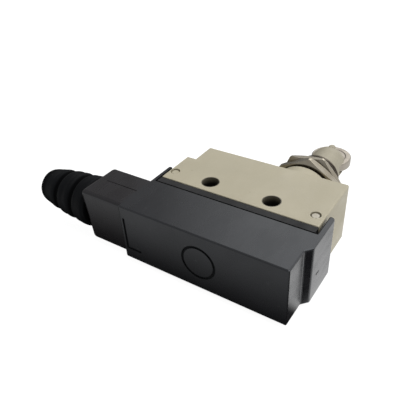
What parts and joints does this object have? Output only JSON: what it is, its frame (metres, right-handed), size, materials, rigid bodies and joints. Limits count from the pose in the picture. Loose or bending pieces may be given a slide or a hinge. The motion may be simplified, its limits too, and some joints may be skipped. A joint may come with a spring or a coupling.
{
  "type": "limit switch",
  "caption": "Enclosed limit switch: painted metal case with through mounting holes, panel-mount roller plunger with lock nuts, black terminal cover and ribbed cable boot.",
  "frame": {"origin": "on the lower side face of the case, midway between the axes of the two mounting holes", "axes": "+X along the body to the end opposite the cable boot, +Y the way the roller plunger points, +Z from the lower side face to the upper one, along the mounting holes"},
  "size_m": [0.1179, 0.0943, 0.0284],
  "materials": {
    "case_paint": "satin warm grey paint on a die casting",
    "plated_steel": "plated, slightly dull",
    "plunger_metal": "matt sintered metal",
    "roller_steel": "ground steel",
    "spring_wire": "bright drawn wire",
    "contact_silver": "polished contact metal",
    "brass": "stamped strip",
    "copper_strip": "rolled copper alloy",
    "cover_plastic": "satin black moulding",
    "black_rubber": "matt moulded rubber",
    "gasket_rubber": "matt sheet rubber",
    "switch_body": "brown phenolic",
    "button_plastic": "red moulding"
  },
  "bodies": {
    "frame": {"switch_case": "case_paint", "threaded_bush": "plated_steel", "lock_nut_inner": "plated_steel", "lock_nut_outer": "plated_steel", "plunger_seal": "black_rubber", "spring_seat": "plated_steel", "return_spring": "spring_wire", "side_pin_left": "plated_steel", "side_pin_right": "plated_steel", "switch_base": "switch_body", "switch_lid": "switch_body", "terminal_com": "brass", "terminal_no": "brass", "terminal_nc": "brass", "terminal_screw_com": "plated_steel", "terminal_screw_no": "plated_steel", "terminal_screw_nc": "plated_steel", "cover_gasket": "gasket_rubber"},
    "plunger": {"roller_plunger": "plunger_metal", "roller_pin": "spring_wire", "plunger_clip": "spring_wire"},
    "roller": {"roller": "roller_steel"},
    "button": {"switch_button": "button_plastic", "button_cap": "brass", "overtravel_spring": "spring_wire"},
    "blade": {"snap_blade": "copper_strip", "moving_contact": "contact_silver"},
    "cover": {"terminal_cover": "cover_plastic", "cable_boot": "black_rubber"}
  },
  "joints": [
    {"name": "plunger_slide", "type": "slide", "parent": "frame", "child": "plunger", "axis": [0, -1, 0], "range_m": [0, 0.0045], "stiffness_N_per_m": 900, "springref_m": -0.003, "deforming": ["return_spring", "overtravel_spring"]},
    {"name": "roller_spin", "type": "hinge", "parent": "plunger", "child": "roller", "pos_m": [0.0132, 0.0566, 0.0119], "axis": [0, 0, 1], "continuous": true},
    {"name": "button_press", "type": "slide", "parent": "frame", "child": "button", "axis": [0, -1, 0], "range_m": [0, 0.00045]},
    {"name": "blade_tilt", "type": "hinge", "parent": "frame", "child": "blade", "pos_m": [-0.0223, 0.0092, 0.0119], "axis": [0, 0, -1], "range_deg": [0, 0.56]},
    {"name": "cover_pull", "type": "slide", "parent": "frame", "child": "cover", "axis": [0, -1, 0], "range_m": [0, 0.03]}
  ],
  "couplings": [
    {"joint": "button_press", "follows": "plunger_slide", "ratio": 0.1},
    {"joint": "blade_tilt", "follows": "plunger_slide", "rad_per_m": 2.15}
  ]
}
